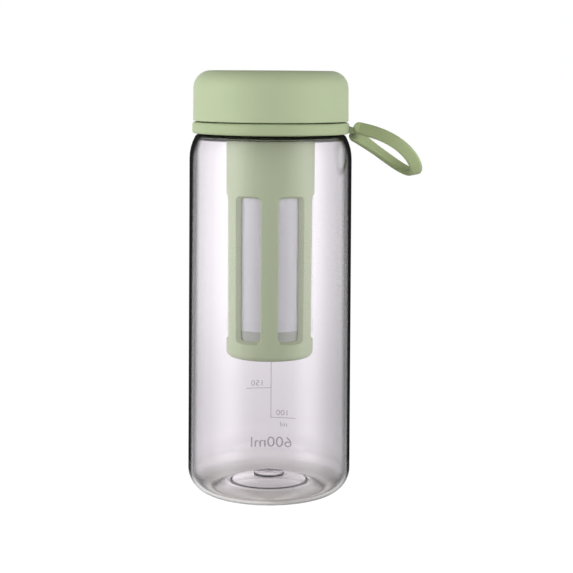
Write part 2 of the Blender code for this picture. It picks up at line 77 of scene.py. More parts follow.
# Light round the object that the clear wall shows: (degrees from straight behind, level)
AROUND = (
    (-180, 0.7), (-160, 0.75), (-145, 1.2), (-133, 2.0), (-122, 2.4), (-110, 2.2), (-98, 1.5),
    (-90, 1.0), (-9, 1.0), (-6, 0.93), (-3, 0.83), (-1, 0.82), (1, 0.80), (4, 0.67), (5.5, 0.60),
    (6.5, 0.58), (7.5, 0.57), (8.5, 0.58), (10, 0.61), (18, 0.60), (30, 0.80), (60, 1.0), (90, 1.0),
    (98, 1.4), (110, 2.0), (122, 2.2), (133, 1.8), (145, 1.1), (160, 0.75), (180, 0.7),
)  # fmt: skip
BRIGHTEST = 3.0
# The same light by how steeply it comes from below: (sine of the angle, level)
BELOW = (
    (0.05, 1.0), (0.10, 0.99), (0.14, 0.93), (0.165, 0.85), (0.19, 0.765), (0.216, 0.72),
    (0.241, 0.77), (0.40, 0.85), (0.60, 0.92), (1.0, 0.98),
)  # fmt: skip
# Painted shade at the clear wall's foot, greyer towards the floor: (part of the shoulder's height,
# share)
FOOT_SHADE = ((0.0, 1.0), (0.018, 0.9), (0.04, 0.4), (0.075, 0.12), (0.12, 0.0))
# Painted shade at the clear wall's edge, standing in for the dark surroundings seen through it: (how far
# it faces away from the viewer, share)
RIM = (
    (0.0, 0.0), (0.243, 0.0), (0.272, 0.004), (0.377, 0.054), (0.486, 0.127), (0.531, 0.15),
    (0.580, 0.15), (0.641, 0.40), (0.674, 0.68), (0.708, 0.94), (0.732, 1.0), (1.0, 1.0),
)  # fmt: skip
# How far the normal leans for it, so that the edge is narrow from above too
RIM_LEAN = (0, 0, 0.3)


# Sizes and colours that a user would change


def length(name, description, default):
    return bpy.props.FloatProperty(name=name, description=description, default=default, unit="LENGTH")


def angle(name, description, degrees):
    return bpy.props.FloatProperty(
        name=name, description=description, default=math.radians(degrees), subtype="ANGLE"
    )


def colour(name, description, default):
    return bpy.props.FloatVectorProperty(
        name=name, description=description, default=default, subtype="COLOR", size=3, min=0, max=1
    )


class BottleSizes(bpy.types.PropertyGroup):
    body_radius: length("Body radius", "Outside of the body at its foot", 0.0380)
    body_taper: length("Body taper", "How much slimmer the body is at its shoulder", 0.00085)
    wall: length("Wall", "Thickness of the body's wall", 0.0017)
    foot_fillet: length("Foot rounding", "Radius of the foot's rounding", 0.0114)
    shoulder: length("Shoulder height", "Height of the shoulder's flat", 0.1672)
    neck_radius: length("Neck radius", "Outside of the neck", 0.0295)
    neck_wall: length("Neck wall", "Thickness of the neck's wall", 0.0024)
    rim: length("Rim height", "Height of the neck's rim", body_high.z)
    thread_pitch: length("Thread pitch", "Rise of the thread in one turn", 0.0040)


class LidSizes(bpy.types.PropertyGroup):
    radius: length("Lid radius", "Outside of the lid at its lower edge", 0.03555)
    taper: length("Lid taper", "How much slimmer the lid is at its top", 0.00025)
    low: length("Lower edge", "Height of the lid's lower edge", lid_box_low.z)
    top: length("Lid top", "Height of the lid's top", lid_box_high.z)
    fillet: length("Lid rounding", "Radius of the lid's upper rounding", 0.0080)
    ring_radius: length("Ring radius", "Outside of the carry ring", 0.0359)
    ring_low: length("Ring underside", "Height of the carry ring's underside", 0.1675)
    ring_height: length("Ring height", "Height of the carry ring", 0.0052)


class InfuserSizes(bpy.types.PropertyGroup):
    radius: length("Infuser radius", "Outside of the tube at its top", 0.0204)
    taper: length("Infuser taper", "How much slimmer the tube is at its foot", 0.0003)
    wall: length("Infuser wall", "Thickness of the tube's wall", 0.0024)
    windows: bpy.props.IntProperty(name="Windows", description="Windows round the tube", default=6)
    window_height: length("Window height", "Height of a window", 0.0670)
    rib_width: length("Rib width", "Width of the rib between two windows", 0.0076)
    weave_pitch: length("Weave pitch", "Distance from wire to wire", 0.00052)
    wire: length("Wire", "Thickness of a wire", 0.00024)


class LoopSizes(bpy.types.PropertyGroup):
    reach: length("Loop reach", "From the hinge to the loop's tip", 0.0322)
    half_width: length("Half width", "Half of the loop's width", 0.0111)
    band: length("Band width", "Width of the loop's band", 0.0057)
    thickness: length("Band thickness", "Thickness of the loop's band", 0.0028)
    pitch: angle("Pitch", "How far the loop hangs down", 20.7)
    roll: angle("Roll", "How far the loop leans about its length", -22.3)
    sag: angle("Sag", "How far the loop bends from its hinge to its tip", 26.8)
    flare: angle("Flare", "How far the band leans outwards", 30)


class BottleColours(bpy.types.PropertyGroup):
    plastic: colour("Plastic", "Matt plastic of the lid", (0.47, 0.545, 0.347))
    # Painted light: the infuser's plastic is a lighter copy of the lid's, standing in for more light on
    # the tube
    infuser: colour("Infuser", "Matt plastic of the infuser", (0.503, 0.583, 0.371))
    # Painted shade: the carry ring's plastic is a darker copy of the lid's
    ring: colour("Ring", "Matt plastic of the carry ring", (0.425, 0.50, 0.303))
    loop: colour("Loop", "Silicone of the carry loop", (0.39, 0.46, 0.24))
    wall: colour("Wall", "Tint of the clear wall", (0.995, 0.965, 1.0))
    # Painted shade: the clear wall's greyer foot, standing in for darker surroundings seen through it
    foot: colour("Foot", "Tint of the clear wall at its foot", (0.66, 0.63, 0.61))
    gasket: colour("Gasket", "Silicone of the gasket", (0.78, 0.78, 0.76))
    steel: colour("Steel", "Wire of the mesh", (0.82, 0.82, 0.845))
    ink: colour("Ink", "Printed scale", (0.24, 0.23, 0.24))
    floor: colour("Floor", "Plain floor", (0.85, 0.85, 0.85))


def sizes(name):
    return getattr(bpy.context.scene, "bottle_" + name)


# Shader sums


class Value:
    """A shader socket that takes part in sums."""

    def __init__(self, finish, socket):
        self.finish = finish
        self.socket = socket

    def math(self, operation, *values):
        node = self.finish.add("ShaderNodeMath", {"operation": operation}, dict(enumerate(values)))
        return self.finish.out(node, 0)

    def __add__(self, other):
        return self.math("ADD", self, other)

    def __radd__(self, other):
        return self.math("ADD", other, self)

    def __sub__(self, other):
        return self.math("SUBTRACT", self, other)

    def __rsub__(self, other):
        return self.math("SUBTRACT", other, self)

    def __mul__(self, other):
        return self.math("MULTIPLY", self, other)

    def __rmul__(self, other):
        return self.math("MULTIPLY", other, self)

    def __truediv__(self, other):
        return self.math("DIVIDE", self, other)

    def __lt__(self, other):
        return self.math("LESS_THAN", self, other)

    def call(self, operation, *others):
        return self.math(operation, self, *others)


class Finish:
    """The nodes of one material."""

    def __init__(self, name, shown, world=None):
        self.material = world or bpy.data.materials.new(name)
        self.material.use_nodes = True
        if not world:
            self.material.diffuse_color = (*shown, 1)
        self.tree = self.material.node_tree
        self.tree.nodes.clear()
        self.end = "ShaderNodeOutputWorld" if world else "ShaderNodeOutputMaterial"

    def add(self, kind, settings=None, sockets=None):
        """A node of that type, with its settings and then its sockets' values or links."""
        node = self.tree.nodes.new(kind)
        for name, setting in (settings or {}).items():
            if name == "stops":
                self.set_stops(node.color_ramp, setting)
            else:
                setattr(node, name, setting)
        for name, value in (sockets or {}).items():
            if isinstance(value, Value):
                self.tree.links.new(value.socket, node.inputs[name])
            else:
                node.inputs[name].default_value = value
        return node

    def set_stops(self, ramp, stops):
        while len(ramp.elements) < len(stops):
            ramp.elements.new(1)
        for element, (place, level) in zip(ramp.elements, stops):
            element.position = place
            element.color = (level, level, level, 1)

    def out(self, node, name=0):
        return Value(self, node.outputs[name])

    def point(self, kind="Object"):
        return self.out(self.add("ShaderNodeTexCoord"), kind)

    def place(self, kind="Object"):
        """Those coordinates, as x, y and z values."""
        split = self.add("ShaderNodeSeparateXYZ", None, {0: self.point(kind)})
        return [self.out(split, index) for index in range(3)]

    def noise(self, scale, detail=2.0):
        sockets = {"Vector": self.point(), "Scale": scale, "Detail": detail, "Roughness": 0.5}
        return self.out(self.add("ShaderNodeTexNoise", None, sockets), 0)

    def tones(self, factor, tone, darker, lighter):
        """The tone between those two parts of itself."""
        low, high = ((*(min(1, part * share) for part in tone), 1) for share in (darker, lighter))
        return self.mix_colour(factor, low, high)

    def principled(self, **sockets):
        named = {name.replace("_", " "): value for name, value in sockets.items()}
        return self.out(self.add("ShaderNodeBsdfPrincipled", None, named))

    def transparent(self, level):
        return self.out(self.add("ShaderNodeBsdfTransparent", None, {"Color": grey(level)}))

    def ramp(self, factor, stops):
        """Grey levels between (place, level) stops."""
        return self.out(self.add("ShaderNodeValToRGB", {"stops": stops}, {0: factor}))

    def mix_colour(self, factor, first, second):
        node = self.add("ShaderNodeMix", {"data_type": "RGBA"}, {0: factor, 6: first, 7: second})
        return self.out(node, 2)

    def mix(self, factor, first, second):
        node = self.add("ShaderNodeMixShader", None, {0: factor, 1: first, 2: second})
        return self.out(node, 0)

    def bump(self, height, strength, distance):
        sockets = {"Height": height, "Strength": strength, "Distance": distance}
        return self.out(self.add("ShaderNodeBump", None, sockets), 0)

    def leaned(self, lean):
        """The surface's normal, leaned that way."""
        normal = self.out(self.add("ShaderNodeNewGeometry"), "Normal")
        total = self.out(self.add("ShaderNodeVectorMath", {"operation": "ADD"}, {0: normal, 1: lean}))
        return self.out(self.add("ShaderNodeVectorMath", {"operation": "NORMALIZE"}, {0: total}))

    def finish(self, shader):
        self.add(self.end, None, {"Surface": shader})
        return self.material

    def background(self, strength):
        return self.out(self.add("ShaderNodeBackground", None, {"Color": grey(1), "Strength": strength}))


def grey(level):
    return (level, level, level, 1)


def moulded_plastic(name, tone):
    """Matt sage plastic with a fine spark-eroded grain and faint tone changes."""
    finish = Finish(name, tone)
    plastic = finish.principled(
        Base_Color=finish.tones(finish.noise(scale=38.0), tone, darker=0.965, lighter=1.03),
        Roughness=0.47 + finish.noise(scale=900.0) * 0.1,
        IOR=1.47,
        Specular_IOR_Level=0.25,
        Normal=finish.bump(finish.noise(scale=5200.0), strength=0.22, distance=0.06 * MM),
    )
    return finish.finish(plastic)


def soft_silicone(name, tone):
    """Soft silicone with a velvety bloom and a very fine grain."""
    finish = Finish(name, tone)
    silicone = finish.principled(
        Base_Color=finish.tones(finish.noise(scale=60.0, detail=3.0), tone, darker=0.95, lighter=1.04),
        Roughness=0.55 + finish.noise(scale=1500.0) * 0.1,
        Specular_IOR_Level=0.3,
        Sheen_Weight=0.03,
        Sheen_Roughness=0.5,
        Normal=finish.bump(finish.noise(scale=3800.0), strength=0.2, distance=0.06 * MM),
    )
    return finish.finish(silicone)


def clear_wall():
    """Clear copolyester: it refracts what lies behind it, and painted shade makes its foot greyer and
    its edges dark.

    Its base has no painted dark edges. Lamp light and room light go through it to what is inside.
    """
    flat_from, top_gain, under_gain, room_light, lamp_light = 0.85, 8, -1.6, 0.82, 0.97
    tones = sizes("colours")
    finish = Finish("clear_copolyester", tuple(tones.wall))
    height = finish.place()[2]
    # Painted shade: the wall turns greyer towards its foot
    foot = finish.ramp(height / sizes("bottle").shoulder, FOOT_SHADE)
    glass = finish.principled(
        Base_Color=finish.mix_colour(foot, (*tones.wall, 1), (*tones.foot, 1)),
        Roughness=0.0,
        IOR=1.5,
        Transmission_Weight=1.0,
    )
    # Painted shade: a near-black surface mixed in where the wall faces away, standing in for dark
    # surroundings seen through its edge
    painted_edge_shade = finish.principled(Base_Color=grey(0.015), Roughness=0.5, Specular_IOR_Level=0.0)
    facing = finish.add("ShaderNodeLayerWeight", None, {"Blend": 0.5, "Normal": finish.leaned(RIM_LEAN)})
    away = finish.ramp(finish.out(facing, "Facing"), RIM)
    upward = finish.place("Normal")[2]
    flat = ((upward - flat_from) * top_gain).call("MAXIMUM", upward * under_gain)
    base = flat.call("MAXIMUM", 0.0).call("MINIMUM", 1.0) * (height < BASE_HEIGHT)
    shown = finish.mix(away * (1 - base), glass, painted_edge_shade)
    path = finish.add("ShaderNodeLightPath")
    shown = finish.mix(finish.out(path, "Is Diffuse Ray"), shown, finish.transparent(room_light))
    shown = finish.mix(finish.out(path, "Is Shadow Ray"), shown, finish.transparent(lamp_light))
    return finish.finish(shown)


def woven_wire(name, flat):
    """Plain steel weave: wires cross over and under with painted shade at the crossings, and the gaps
    let light through.
    """
    infuser = sizes("infuser")
    tone = tuple(sizes("colours").steel)
    foot_band_tone = (tone[0] * 0.50, tone[1] * 0.52, tone[2] * 0.46, 1)
    finish = Finish(name, tone)
    x, y, z = finish.place()
    if flat:
        across, along = x, y
    else:
        across = finish.out(
            finish.add("ShaderNodeMath", {"operation": "ARCTAN2"}, {0: y, 1: x})
        ) * (infuser.radius - infuser.taper - infuser.wall)
        along = z
    turns_across = across / infuser.weave_pitch
    turns_along = along / infuser.weave_pitch
    off_across = (turns_across.call("FRACT") - 0.5).call("ABSOLUTE")
    off_along = (turns_along.call("FRACT") - 0.5).call("ABSOLUTE")
    half = infuser.wire / infuser.weave_pitch / 2
    wire = (off_across < half).call("MAXIMUM", off_along < half)
    wave = (turns_across * math.pi).call("SINE") * (turns_along * math.pi).call("SINE")
    # Painted shade and highlight: darker where a wire dips under the crossing wire, lighter where it
    # rises over it
    shade = finish.tones(wave * 0.5 + 0.5, tone, darker=0.82, lighter=1.12)
    if not flat:
        # Closed and darker near the mesh's foot
        foot_band = z < infuser_low.z + FOOT_BAND_HEIGHT
        shade = finish.mix_colour(foot_band, shade, foot_band_tone)
        wire = wire.call("MAXIMUM", foot_band)
    weave = finish.bump(wave, strength=0.3, distance=0.1 * MM)
    steel = finish.principled(Base_Color=shade, Metallic=0.15, Roughness=0.45, Alpha=wire, Normal=weave)
    return finish.finish(steel)


def scale_ink():
    """Thin grey screen ink, with faint unevenness."""
    tone = tuple(sizes("colours").ink)
    finish = Finish("scale_ink", tone)
    base = finish.tones(finish.noise(scale=700.0), tone, darker=1.0, lighter=1.35)
    return finish.finish(finish.principled(Base_Color=base, Roughness=0.6, Alpha=0.72))


# Modelling by hand


def deselect():
    if bpy.context.object and bpy.context.object.mode != "OBJECT":
        bpy.ops.object.mode_set(mode="OBJECT")
    bpy.ops.object.select_all(action="DESELECT")


def settle(name):
    """Names the new primitive and puts its place in its mesh."""
    obj = bpy.context.object
    obj.name = name
    obj.data.name = name
    bpy.ops.object.transform_apply(location=True, rotation=True, scale=True)
    return obj


def edit(obj):
    deselect()
    obj.select_set(True)
    bpy.context.view_layer.objects.active = obj
    bpy.ops.object.mode_set(mode="EDIT")
    bpy.ops.mesh.select_mode(type="VERT")
    bpy.ops.mesh.select_all(action="SELECT")


def tidy(obj, smooth=32):
    """Merges doubles, turns the faces outwards and shades smooth up to that many degrees."""
    edit(obj)
    bpy.ops.mesh.remove_doubles(threshold=WELD)
    bpy.ops.mesh.normals_make_consistent(inside=False)
    bpy.ops.object.mode_set(mode="OBJECT")
    bpy.ops.object.shade_smooth_by_angle(angle=math.radians(smooth))
    return obj


def rounded(corners, closed=False):
    """The outline through (radius, height, fillet) corners, with each fillet as an arc."""
    points = []
    count = len(corners)
    for index, (radius, height, fillet) in enumerate(corners):
        here = Vector((radius, height))
        if not fillet or not (closed or 0 < index < count - 1):
            points.append(here)
            continue
        before = Vector(corners[index - 1][:2]) - here
        after = Vector(corners[(index + 1) % count][:2]) - here
        half = before.angle(after) / 2
        reach = min(fillet / math.tan(half), before.length * 0.98, after.length * 0.98)
        real = reach * math.tan(half)
        start = here + before.normalized() * reach
        centre = here + (before.normalized() + after.normalized()).normalized() * (real / math.sin(half))
        turn = math.pi - 2 * half
        if before.cross(after) > 0:
            turn = -turn
        steps = max(3, math.ceil(abs(turn) / (math.pi / 2) * ARC_POINTS))
        for step in range(steps + 1):
            points.append(centre + Matrix.Rotation(turn * step / steps, 2) @ (start - centre))
    return points


def drawn(name, points, closed=False):
    """A chain of points above the X axis, each extruded from the one before."""
    deselect()
    bpy.ops.mesh.primitive_plane_add(size=WELD, location=(points[0][0], 0, points[0][1]))
    obj = settle(name)
    edit(obj)
    bpy.ops.mesh.merge(type="CENTER")
    ring = list(points) + ([points[0]] if closed else [])
    for before, after in zip(ring, ring[1:]):
        step = (after[0] - before[0], 0, after[1] - before[1])
        bpy.ops.mesh.extrude_vertices_move(TRANSFORM_OT_translate={"value": step})
    return obj


def turned(name, corners, closed=False, steps=ROUND_STEPS, smooth=32):
    """A body of revolution about Z, spun from its outline."""
    obj = drawn(name, rounded(corners, closed), closed)
    bpy.ops.mesh.select_all(action="SELECT")
    bpy.ops.mesh.remove_doubles(threshold=WELD)
    bpy.ops.mesh.spin(steps=steps, angle=2 * math.pi, center=(0, 0, 0), axis=(0, 0, 1))
    return tidy(obj, smooth)


def arc_block(name, low_radius, high_radius, low, high, start, span):
    """A curved block about Z, spun from a filled rectangle."""
    outline = ((low_radius, low), (high_radius, low), (high_radius, high), (low_radius, high))
    obj = drawn(name, outline, closed=True)
    bpy.ops.mesh.select_all(action="SELECT")
    bpy.ops.mesh.remove_doubles(threshold=WELD)
    bpy.ops.mesh.edge_face_add()
    bpy.ops.transform.rotate(value=-start, orient_axis="Z", center_override=(0, 0, 0))
    bpy.ops.mesh.spin(steps=12, angle=-span, center=(0, 0, 0), axis=(0, 0, 1))
    return tidy(obj)


def swept(obj, frames, widths):
    """Extrudes the ring that is the whole object from frame to frame, and closes its ends."""
    edit(obj)
    for before, after, old, new in zip(frames, frames[1:], widths, widths[1:]):
        axis, turn = (after.to_quaternion() @ before.to_quaternion().inverted()).to_axis_angle()
        centre = before.translation
        bpy.ops.mesh.spin(steps=1, angle=-turn, center=centre, axis=axis)
        bpy.ops.transform.translate(value=after.translation - centre)
        if new != old:
            bpy.ops.transform.resize(
                value=(1, new / old, 1),
                orient_type="GLOBAL",
                orient_matrix=after.to_3x3(),
                orient_matrix_type="GLOBAL",
                center_override=after.translation,
            )
    bpy.ops.mesh.select_all(action="SELECT")
    bpy.ops.mesh.fill_holes(sides=0)
    return tidy(obj)


def cylinder(name, radius, depth, place):
    deselect()
    bpy.ops.mesh.primitive_cylinder_add(vertices=48, radius=radius, depth=depth)
    obj = bpy.context.object
    obj.matrix_world = place
    return settle(name)


def combine(obj, tool, operation):
    deselect()
    obj.select_set(True)
    bpy.context.view_layer.objects.active = obj
    boolean = obj.modifiers.new(tool.name, "BOOLEAN")
    boolean.operation = operation
    boolean.object = tool
    boolean.solver = "EXACT"
    bpy.ops.object.modifier_apply(modifier=boolean.name)
    bpy.data.objects.remove(tool)


def joined(name, objects):
    deselect()
    for obj in objects:
        obj.select_set(True)
    bpy.context.view_layer.objects.active = objects[0]
    bpy.ops.object.join()
    obj = bpy.context.object
    obj.name = name
    return obj


def dress(obj, material, body, slot, *nodes):
    """Gives a finished piece its material, its body and the CAD nodes that it stands for."""
    deselect()
    obj.data.materials.clear()
    obj.data.materials.append(material)
    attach(obj, body)
    if nodes:
        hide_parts(*nodes)


def recolour(node, material):
    """Gives a CAD node that stays in the picture a better material."""
    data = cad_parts[node].data
    data.materials.clear()
    data.materials.append(material)


def helix_frames(radius, middle, pitch, turns, steps):
    frames = []
    lean = math.atan(pitch / (2 * math.pi * radius))
    for index in range(steps + 1):
        share = index / steps
        around = 2 * math.pi * turns * share
        height = middle + pitch * turns * (share - 0.5)
        spot = Matrix.Translation((radius * math.cos(around), radius * math.sin(around), height))
        tilt = Matrix.Rotation(lean - math.pi / 2, 4, "X")
        frames.append(spot @ Matrix.Rotation(around, 4, "Z") @ tilt)
    return frames


def thread_bead(name, radius, middle, pitch):
    """A round thread bead, half sunk in its wall, one turn and three quarters long."""
    frames = helix_frames(radius, middle, pitch, turns=1.75, steps=120)
    deselect()
    bpy.ops.mesh.primitive_circle_add(vertices=14, radius=1.0 * MM)
    bpy.context.object.matrix_world = frames[0]
    bead = settle(name)
    return swept(bead, frames, [1.0] * len(frames))


# Pieces


class BOTTLE_OT_body(bpy.types.Operator):
    """Model the clear bottle with its threaded neck"""

    bl_idname = "bottle.body"
    bl_label = "Clear bottle"

    def execute(self, context):
        size = sizes("bottle")
        lid = sizes("lid")
        edge, rim_edge, low_edge = 0.3 * MM, 0.7 * MM, 0.2 * MM
        slope_share, inner_share, shoulder_drop, shoulder_edge = 0.41, 0.6, 5.9 * MM, 2.2 * MM
        outer_round, inner_round, neck_round = 21.3 * MM, 19.1 * MM, 3.0 * MM
        bead, bead_height, bead_gap = 0.9 * MM, 1.0 * MM, 0.3 * MM
        land_width, land_edge, rise, base = 1.2 * MM, 0.5 * MM, 5.7 * MM, 2.4 * MM
        pad_radius, pad_height, pad_drop, pad_edge = 7.0 * MM, 0.8 * MM, 1.15 * MM, 0.4 * MM
        groove_radius, groove_half, groove_depth = 18.6 * MM, 1.5 * MM, 0.42 * MM
        corner_round, thread_drop = 4.0 * MM, 8.0 * MM

        top = size.body_radius - size.body_taper
        slope = (top - size.neck_radius) * slope_share
        corner = size.shoulder - shoulder_drop
        bead_low = lid.ring_low + lid.ring_height + bead_gap
        bead_radius = size.neck_radius + bead
        neck_bore = size.neck_radius - size.neck_wall
        ceiling = size.shoulder - size.wall
        foot = size.body_radius - size.foot_fillet
        land = foot - land_width
        sphere = (land**2 + rise**2) / (2 * rise)
        pad = rise + base + pad_height

        def dome(radius, wall):
            return (radius, rise - sphere + math.sqrt((sphere + wall) ** 2 - radius**2), 0)

        # The floor inside is a dome with a shallow groove round its gate pad
        floor = []
        for step in range(20, 61):
            radius, height, fillet = dome(land * step / 72, base)
            groove = max(0.0, 1 - ((radius - groove_radius) / groove_half) ** 2) ** 2
            floor.append((radius, height - groove_depth * groove, fillet))
        under = [dome(land * step / 24, 0) for step in range(24)]
        corners = [
            (0, pad, 0),
            (pad_radius, pad, pad_edge),
            (pad_radius, pad - pad_drop, edge),
            *floor,
            (foot, size.wall, corner_round),
            (size.body_radius - size.wall, size.wall, size.foot_fillet - size.wall),
            (top - size.wall, corner, inner_round),
            (top - size.wall - slope * inner_share, ceiling, shoulder_edge),
            (neck_bore, ceiling, neck_round),
            (neck_bore, size.rim, rim_edge),
            (size.neck_radius, size.rim, rim_edge),
            (size.neck_radius, bead_low + bead_height, low_edge),
            (bead_radius, bead_low + bead_height, edge),
            (bead_radius, bead_low, edge),
            (size.neck_radius, bead_low, low_edge),
            (size.neck_radius, size.shoulder, edge),
            (top - slope, size.shoulder, shoulder_edge),
            (top, corner, outer_round),
            (size.body_radius, 0, size.foot_fillet),
            (land, 0, land_edge),
            *reversed(under),
        ]
        bottle = turned("clear_bottle", corners, smooth=40)
        thread_middle = size.rim - thread_drop
        thread = thread_bead("neck_thread", size.neck_radius, thread_middle, size.thread_pitch)
        combine(bottle, thread, "UNION")
        dress(tidy(bottle, 40), clear_wall(), "bottle", "clear_bottle", "bottle_body")
        return {"FINISHED"}


class BOTTLE_OT_scale(bpy.types.Operator):
    """Print the generic volume scale on the back of the bottle"""

    bl_idname = "bottle.scale"
    bl_label = "Printed scale"

    away = 60 * MM
    stretch = 1.16
    mark_width, mark_height = 12.4 * MM, 0.3 * MM

    def word(self, text, size, x, z):
        deselect()
        bpy.ops.object.text_add(location=(x, self.away, z), rotation=(math.pi / 2, 0, math.pi))
        letters = bpy.context.object
        letters.data.body = text
        letters.data.size = size
        letters.data.align_x = "CENTER"
        letters.data.resolution_u = 6
        bpy.ops.object.convert(target="MESH")
        bpy.context.object.scale.x = self.stretch
        return settle("word")

    def bar(self, x, z, width, height):
        deselect()
        turn = (math.pi / 2, 0, math.pi)
        bpy.ops.mesh.primitive_plane_add(size=1, location=(x, self.away, z), rotation=turn)
        bpy.context.object.scale = (width, height, 1)
        return settle("bar")

    def execute(self, context):
        line_x, line_width, mark_x = 0.45 * MM, 0.34 * MM, 6.3 * MM
        first, spacing = 26.65 * MM, 14.85 * MM
        number_size, number_x, number_lift = 3.9 * MM, 6.4 * MM, 1.2 * MM
        marks = [(volume, first + (volume - 100) / 50 * spacing) for volume in range(100, 550, 50)]
        top, low = marks[-1][1], first - self.mark_height / 2
        pieces = [self.bar(line_x, (low + top) / 2, line_width, top - low)]
        for volume, height in marks:
            side = 1 if volume % 100 == 0 else -1
            pieces.append(self.bar(line_x + side * mark_x, height, self.mark_width, self.mark_height))
            pieces.append(self.word(str(volume), number_size, side * number_x, height + number_lift))
        pieces.append(self.word("ml", size=3.5 * MM, x=6.9 * MM, z=22.1 * MM))
        pieces.append(self.word("600ml", size=7.5 * MM, x=0.6 * MM, z=11.8 * MM))
        print_piece = joined("scale_print", pieces)
        edit(print_piece)
        # Cut at each millimetre, so that the print can follow the round wall
        for cut in range(-13, 15):
            bpy.ops.mesh.select_all(action="SELECT")
            bpy.ops.mesh.bisect(plane_co=(cut * MM, 0, 0), plane_no=(1, 0, 0))
        bpy.ops.object.mode_set(mode="OBJECT")
        wrap = print_piece.modifiers.new("wrap", "SHRINKWRAP")
        wrap.target = bpy.data.objects["clear_bottle"]
        wrap.wrap_method = "PROJECT"
        wrap.use_project_y = True
        wrap.use_project_x = wrap.use_project_z = False
        wrap.use_negative_direction = True
        wrap.use_positive_direction = False
        wrap.offset = 0.02 * MM
        bpy.ops.object.modifier_apply(modifier=wrap.name)
        dress(print_piece, scale_ink(), "bottle", "clear_bottle")
        return {"FINISHED"}


class BOTTLE_OT_lid(bpy.types.Operator):
    """Model the matt outer cap of the lid and dress its inner cap"""

    bl_idname = "bottle.lid"
    bl_label = "Lid"

    def execute(self, context):
        lid = sizes("lid")
        wall, roof = 2.2 * MM, 2.6 * MM
        outer_edge, inner_edge = 0.5 * MM, 0.4 * MM
        ceiling = lid.top - roof
        bore = lid.radius - wall
        corners = [
            (0, lid.top, 0),
            (lid.radius - lid.taper, lid.top, lid.fillet),
            (lid.radius, lid.low, outer_edge),
            (bore, lid.low, inner_edge),
            (bore - lid.taper, ceiling, lid.fillet - wall),
            (0, ceiling, 0),
        ]
        material = moulded_plastic("lid_plastic", tuple(sizes("colours").plastic))
        dress(turned("lid_cap", corners), material, "lid", "sage_plastic", "lid_shell")
        recolour("lid_liner", material)
        return {"FINISHED"}


class BOTTLE_OT_seal(bpy.types.Operator):
    """Model the soft gasket under the lid"""

    bl_idname = "bottle.seal"
    bl_label = "Gasket"

    def execute(self, context):
        low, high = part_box("lid_seal")
        bore, edge, lap = 27.0 * MM, 0.3 * MM, 0.2 * MM
        outer = sizes("bottle").neck_radius + lap
        outline = ((outer, high.z), (outer, low.z), (bore, low.z), (bore, high.z))
        corners = [(radius, height, edge) for radius, height in outline]
        material = soft_silicone("gasket_silicone_soft", tuple(sizes("colours").gasket))
        dress(turned("gasket", corners, closed=True), material, "seal", "gasket_silicone", "lid_seal")
        return {"FINISHED"}


class BOTTLE_OT_infuser(bpy.types.Operator):
    """Model the windowed infuser tube with its bayonet lugs"""

    bl_idname = "bottle.infuser"
    bl_label = "Infuser tube"

    def window(self, number):
        size = sizes("infuser")
        bore = size.radius - size.taper - size.wall
        pitch = 2 * math.pi / size.windows
        rib = math.asin(size.rib_width / 2 / size.radius)
        outer_half = size.radius * math.sin(pitch / 2 - rib)
        outer_x = size.radius * math.cos(pitch / 2 - rib)
        chamfer, end_chamfer, corner = 1.5 * MM, 1.0 * MM, 2.6 * MM
        sill, past, lip_depth, flare, end_flare = 8.1 * MM, 1.0 * MM, 1.0 * MM, 0.9, 0.4
        inner_x = math.sqrt(bore**2 - (outer_half - chamfer) ** 2)
        far, lip, near = size.radius + past, outer_x - lip_depth, inner_x - past
        low = infuser_low.z + sill
        middle = low + size.window_height / 2
        halves = []
        for distance in (lip, near):
            depth = (outer_x - distance) / (outer_x - inner_x)
            halves.append((outer_half - chamfer * depth, size.window_height / 2 - end_chamfer * depth))
        mouth = far - lip
        halves.insert(0, (halves[0][0] + mouth * flare, halves[0][1] + mouth * end_flare))
        deselect()
        bpy.ops.mesh.primitive_plane_add(size=1, location=(far, 0, middle), rotation=(0, math.pi / 2, 0))
        bpy.context.object.scale = (2 * halves[0][1], 2 * halves[0][0], 1)
        cutter = settle(f"window_{number}")
        edit(cutter)
        bpy.ops.mesh.bevel(offset=corner, segments=8, affect="VERTICES")
        bpy.ops.mesh.select_all(action="SELECT")
        places = (far, lip, near)
        for index in (1, 2):
            here, before = halves[index], halves[index - 1]
            step = (places[index] - places[index - 1], 0, 0)
            bpy.ops.mesh.extrude_region_move(TRANSFORM_OT_translate={"value": step})
            shrink = (1, here[0] / before[0], here[1] / before[1])
            bpy.ops.transform.resize(value=shrink, center_override=(places[index], 0, middle))
        bpy.ops.object.mode_set(mode="OBJECT")
        cutter.matrix_world = Matrix.Rotation(pitch * number, 4, "Z")
        settle(cutter.name)
        return tidy(cutter)

    def execute(self, context):
        size = sizes("infuser")
        top, low = infuser_high.z, infuser_low.z
        bore = size.radius - size.taper - size.wall
        edge, top_edge, foot_round = 0.3 * MM, 0.4 * MM, 2.8 * MM
        floor_top, opening = low + 1.8 * MM, 12.5 * MM
        lug_inner, lug_outer = bore - 1.3 * MM, bore + 0.5 * MM
        lugs, lug_low, lug_high, lug_span = 3, top - 6.8 * MM, top - 4.8 * MM, math.radians(40)
        corners = [
            (size.radius, top, top_edge),
            (size.radius - size.taper, low, foot_round),
            (opening, low, edge),
            (opening, floor_top, edge),
            (bore, floor_top, 0),
            (bore, top, edge),
        ]
        tube = turned("infuser_tube", corners, closed=True, steps=ROUND_STEPS + 32)
        for number in range(size.windows):
            combine(tube, self.window(number), "DIFFERENCE")
        for number in range(lugs):
            start = 2 * math.pi * number / lugs - lug_span / 2
            lug = arc_block("lug", lug_inner, lug_outer, lug_low, lug_high, start, lug_span)
            combine(tube, lug, "UNION")
        # Painted light: a lighter copy of the lid's plastic
        material = moulded_plastic("lit_infuser_plastic", tuple(sizes("colours").infuser))
        dress(tidy(tube, 30), material, "infuser", "sage_plastic", "infuser_frame")
        return {"FINISHED"}


